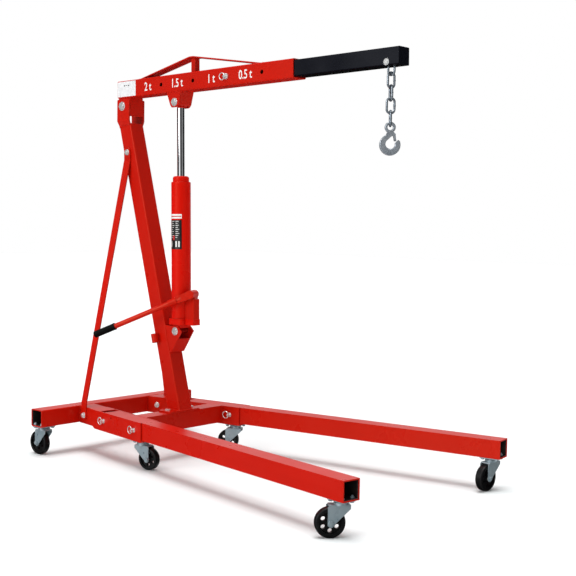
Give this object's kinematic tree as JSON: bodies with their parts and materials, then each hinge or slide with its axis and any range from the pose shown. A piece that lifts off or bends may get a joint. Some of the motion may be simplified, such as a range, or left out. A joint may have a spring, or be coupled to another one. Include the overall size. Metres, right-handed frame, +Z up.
{
  "type": "engine hoist crane",
  "caption": "Folding engine hoist: splayed legs on swivel casters, leaning mast with stays, hand-pumped ram, pinned telescoping boom with chain and latched hook.",
  "frame": {"origin": "on the floor, on the centre plane, under the foot of the mast", "axes": "+X forward along the boom, +Y to the crane's left, +Z up"},
  "size_m": [1.7232, 0.9749, 1.6004],
  "materials": {
    "red_paint": "glossy powder coat",
    "black_paint": "satin powder coat",
    "zinc": "bright zinc plate",
    "chrome_rod": "polished hard chrome",
    "wheel_black": "moulded, satin",
    "grip_black": "ribbed, matte",
    "steel": "plain machined",
    "chain_steel": "zinc plated"
  },
  "bodies": {
    "base_frame": {"rear_beam": "red_paint", "cross_member": "red_paint", "side_rail_right": "red_paint", "side_rail_left": "red_paint", "leg_bracket_right": "red_paint", "leg_bracket_left": "red_paint", "leg_pins": "zinc", "mast_foot": "red_paint", "mast_post": "red_paint", "mast_head": "red_paint", "stay_right": "red_paint", "stay_left": "red_paint", "ram_clevis": "red_paint", "handle_holder": "red_paint", "frame_bolts": "zinc", "caster_plates_base": "zinc", "caster_bolts_base": "zinc"},
    "leg_right": {"leg_right": "red_paint", "caster_plate_leg_right": "zinc", "caster_bolts_leg_right": "zinc"},
    "leg_left": {"leg_left": "red_paint", "caster_plate_leg_left": "zinc", "caster_bolts_leg_left": "zinc"},
    "caster_rear_right": {"caster_fork_rear_right": "zinc"},
    "wheel_rear_right": {"caster_wheel_rear_right": "wheel_black"},
    "caster_middle_right": {"caster_fork_middle_right": "zinc"},
    "wheel_middle_right": {"caster_wheel_middle_right": "wheel_black"},
    "caster_front_right": {"caster_fork_front_right": "zinc"},
    "wheel_front_right": {"caster_wheel_front_right": "wheel_black"},
    "caster_rear_left": {"caster_fork_rear_left": "zinc"},
    "wheel_rear_left": {"caster_wheel_rear_left": "wheel_black"},
    "caster_middle_left": {"caster_fork_middle_left": "zinc"},
    "wheel_middle_left": {"caster_wheel_middle_left": "wheel_black"},
    "caster_front_left": {"caster_fork_front_left": "zinc"},
    "wheel_front_left": {"caster_wheel_front_left": "wheel_black"},
    "boom": {"boom_tube": "red_paint", "boom_lug": "red_paint", "boom_post": "red_paint", "boom_strap": "red_paint", "ram_bracket": "red_paint", "ram_top_bolt": "zinc"},
    "extension": {"boom_extension": "black_paint", "hook_bolt": "zinc"},
    "boom_lock_pin": {"boom_lock_pin": "zinc"},
    "piston_rod": {"piston_rod": "chrome_rod"},
    "ram": {"ram_cylinder": "red_paint", "gland_nut": "red_paint", "pump_body": "red_paint"},
    "pump_lever": {"pump_lever": "red_paint", "pump_handle": "red_paint", "handle_grip": "grip_black"},
    "pump_plunger": {"pump_plunger": "steel"},
    "release_valve": {"release_valve": "red_paint"},
    "chain_link_1": {"chain_link_1": "chain_steel"},
    "chain_link_2": {"chain_link_2": "chain_steel"},
    "chain_link_3": {"chain_link_3": "chain_steel"},
    "chain_link_4": {"chain_link_4": "chain_steel"},
    "chain_link_5": {"chain_link_5": "chain_steel"},
    "hook": {"hook": "chain_steel"},
    "hook_latch": {"hook_latch": "chain_steel"}
  },
  "joints": [
    {"name": "leg_fold_right", "type": "hinge", "parent": "base_frame", "child": "leg_right", "pos_m": [-0.15803, -0.21697, 0.1535], "axis": [-0.1564, -0.9877, 0], "range_deg": [0, 85]},
    {"name": "leg_fold_left", "type": "hinge", "parent": "base_frame", "child": "leg_left", "pos_m": [-0.15803, 0.21697, 0.1535], "axis": [0.1564, -0.9877, 0], "range_deg": [0, 85]},
    {"name": "swivel_rear_right", "type": "hinge", "parent": "base_frame", "child": "caster_rear_right", "pos_m": [-0.4, -0.372, 0.1], "axis": [0, 0, 1], "continuous": true},
    {"name": "roll_rear_right", "type": "hinge", "parent": "caster_rear_right", "child": "wheel_rear_right", "pos_m": [-0.42494, -0.37374, 0.048], "axis": [-0.0698, 0.9976, 0], "continuous": true},
    {"name": "swivel_middle_right", "type": "hinge", "parent": "base_frame", "child": "caster_middle_right", "pos_m": [0.0721, -0.25342, 0.1], "axis": [0, 0, 1], "continuous": true},
    {"name": "roll_middle_right", "type": "hinge", "parent": "caster_middle_right", "child": "wheel_middle_right", "pos_m": [0.10145, -0.24718, 0.043], "axis": [0.2079, -0.9781, 0], "continuous": true},
    {"name": "swivel_front_right", "type": "hinge", "parent": "leg_right", "child": "caster_front_right", "pos_m": [1.20004, -0.43207, 0.1], "axis": [0, 0, 1], "continuous": true},
    {"name": "roll_front_right", "type": "hinge", "parent": "caster_front_right", "child": "wheel_front_right", "pos_m": [1.17754, -0.45888, 0.048], "axis": [-0.766, 0.6428, 0], "continuous": true},
    {"name": "swivel_rear_left", "type": "hinge", "parent": "base_frame", "child": "caster_rear_left", "pos_m": [-0.4, 0.372, 0.1], "axis": [0, 0, 1], "continuous": true},
    {"name": "roll_rear_left", "type": "hinge", "parent": "caster_rear_left", "child": "wheel_rear_left", "pos_m": [-0.42165, 0.3845, 0.048], "axis": [0.5, 0.866, 0], "continuous": true},
    {"name": "swivel_middle_left", "type": "hinge", "parent": "base_frame", "child": "caster_middle_left", "pos_m": [0.0721, 0.25342, 0.1], "axis": [0, 0, 1], "continuous": true},
    {"name": "roll_middle_left", "type": "hinge", "parent": "caster_middle_left", "child": "wheel_middle_left", "pos_m": [0.04666, 0.23752, 0.043], "axis": [-0.5299, 0.848, 0], "continuous": true},
    {"name": "swivel_front_left", "type": "hinge", "parent": "leg_left", "child": "caster_front_left", "pos_m": [1.20004, 0.43207, 0.1], "axis": [0, 0, 1], "continuous": true},
    {"name": "roll_front_left", "type": "hinge", "parent": "caster_front_left", "child": "wheel_front_left", "pos_m": [1.19821, 0.39712, 0.048], "axis": [-0.9986, 0.0523, 0], "continuous": true},
    {"name": "boom_lift", "type": "hinge", "parent": "base_frame", "child": "boom", "pos_m": [-0.322, 0, 1.426], "axis": [0, -1, 0], "range_deg": [-10, 36]},
    {"name": "extension_slide", "type": "slide", "parent": "boom", "child": "extension", "axis": [0.9999, 0, 0.0157], "range_m": [-0.33, 0.185]},
    {"name": "lock_pin_pull", "type": "slide", "parent": "boom", "child": "boom_lock_pin", "axis": [0, -1, 0], "range_m": [0, 0.09]},
    {"name": "ram_tilt", "type": "hinge", "parent": "boom", "child": "piston_rod", "pos_m": [-0.00896, 0, 1.42592], "axis": [0, -1, 0], "range_deg": [-34, 9.5]},
    {"name": "ram_stroke", "type": "slide", "parent": "piston_rod", "child": "ram", "axis": [0.0186, 0, -0.9998], "range_m": [-0.053, 0.188]},
    {"name": "pump_stroke", "type": "hinge", "parent": "ram", "child": "pump_lever", "pos_m": [0.0752, 0, 0.66427], "axis": [-0.4179, 0.9085, 0], "range_deg": [0, 55]},
    {"name": "plunger_slide", "type": "slide", "parent": "ram", "child": "pump_plunger", "axis": [-0.0186, 0, 0.9998], "range_m": [0, 0.012]},
    {"name": "release_turn", "type": "hinge", "parent": "ram", "child": "release_valve", "pos_m": [0.00729, 0.042, 0.55099], "axis": [0, 1, 0], "range_deg": [0, 300]},
    {"name": "link_swing_1", "type": "hinge", "parent": "extension", "child": "chain_link_1", "pos_m": [1.03302, 0, 1.49929], "axis": [0, 1, 0], "range_deg": [-18, 18]},
    {"name": "link_swing_2", "type": "hinge", "parent": "chain_link_1", "child": "chain_link_2", "pos_m": [1.03302, 0, 1.45859], "axis": [1, 0, 0], "range_deg": [-40, 40]},
    {"name": "link_swing_3", "type": "hinge", "parent": "chain_link_2", "child": "chain_link_3", "pos_m": [1.03302, 0, 1.41589], "axis": [0.342, 0.9397, 0], "range_deg": [-40, 40]},
    {"name": "link_swing_4", "type": "hinge", "parent": "chain_link_3", "child": "chain_link_4", "pos_m": [1.03302, 0, 1.37319], "axis": [0.8192, -0.5736, 0], "range_deg": [-40, 40]},
    {"name": "link_swing_5", "type": "hinge", "parent": "chain_link_4", "child": "chain_link_5", "pos_m": [1.03302, 0, 1.33049], "axis": [0.7071, 0.7071, 0], "range_deg": [-40, 40]},
    {"name": "hook_swing", "type": "hinge", "parent": "chain_link_5", "child": "hook", "pos_m": [1.03302, 0, 1.28779], "axis": [0.682, -0.7314, 0], "range_deg": [-40, 40]},
    {"name": "latch_swing", "type": "hinge", "parent": "hook", "child": "hook_latch", "pos_m": [1.04342, 0.00937, 1.25939], "axis": [-0.6691, 0.7431, 0], "range_deg": [0, 28], "stiffness_Nm_per_rad": 0.05, "springref_deg": -17.19}
  ],
  "couplings": [
    {"joint": "ram_tilt", "follows": "boom_lift", "ratio": -0.93},
    {"joint": "ram_stroke", "follows": "boom_lift", "m_per_rad": 0.29679},
    {"joint": "plunger_slide", "follows": "pump_stroke", "m_per_rad": 0.012}
  ]
}
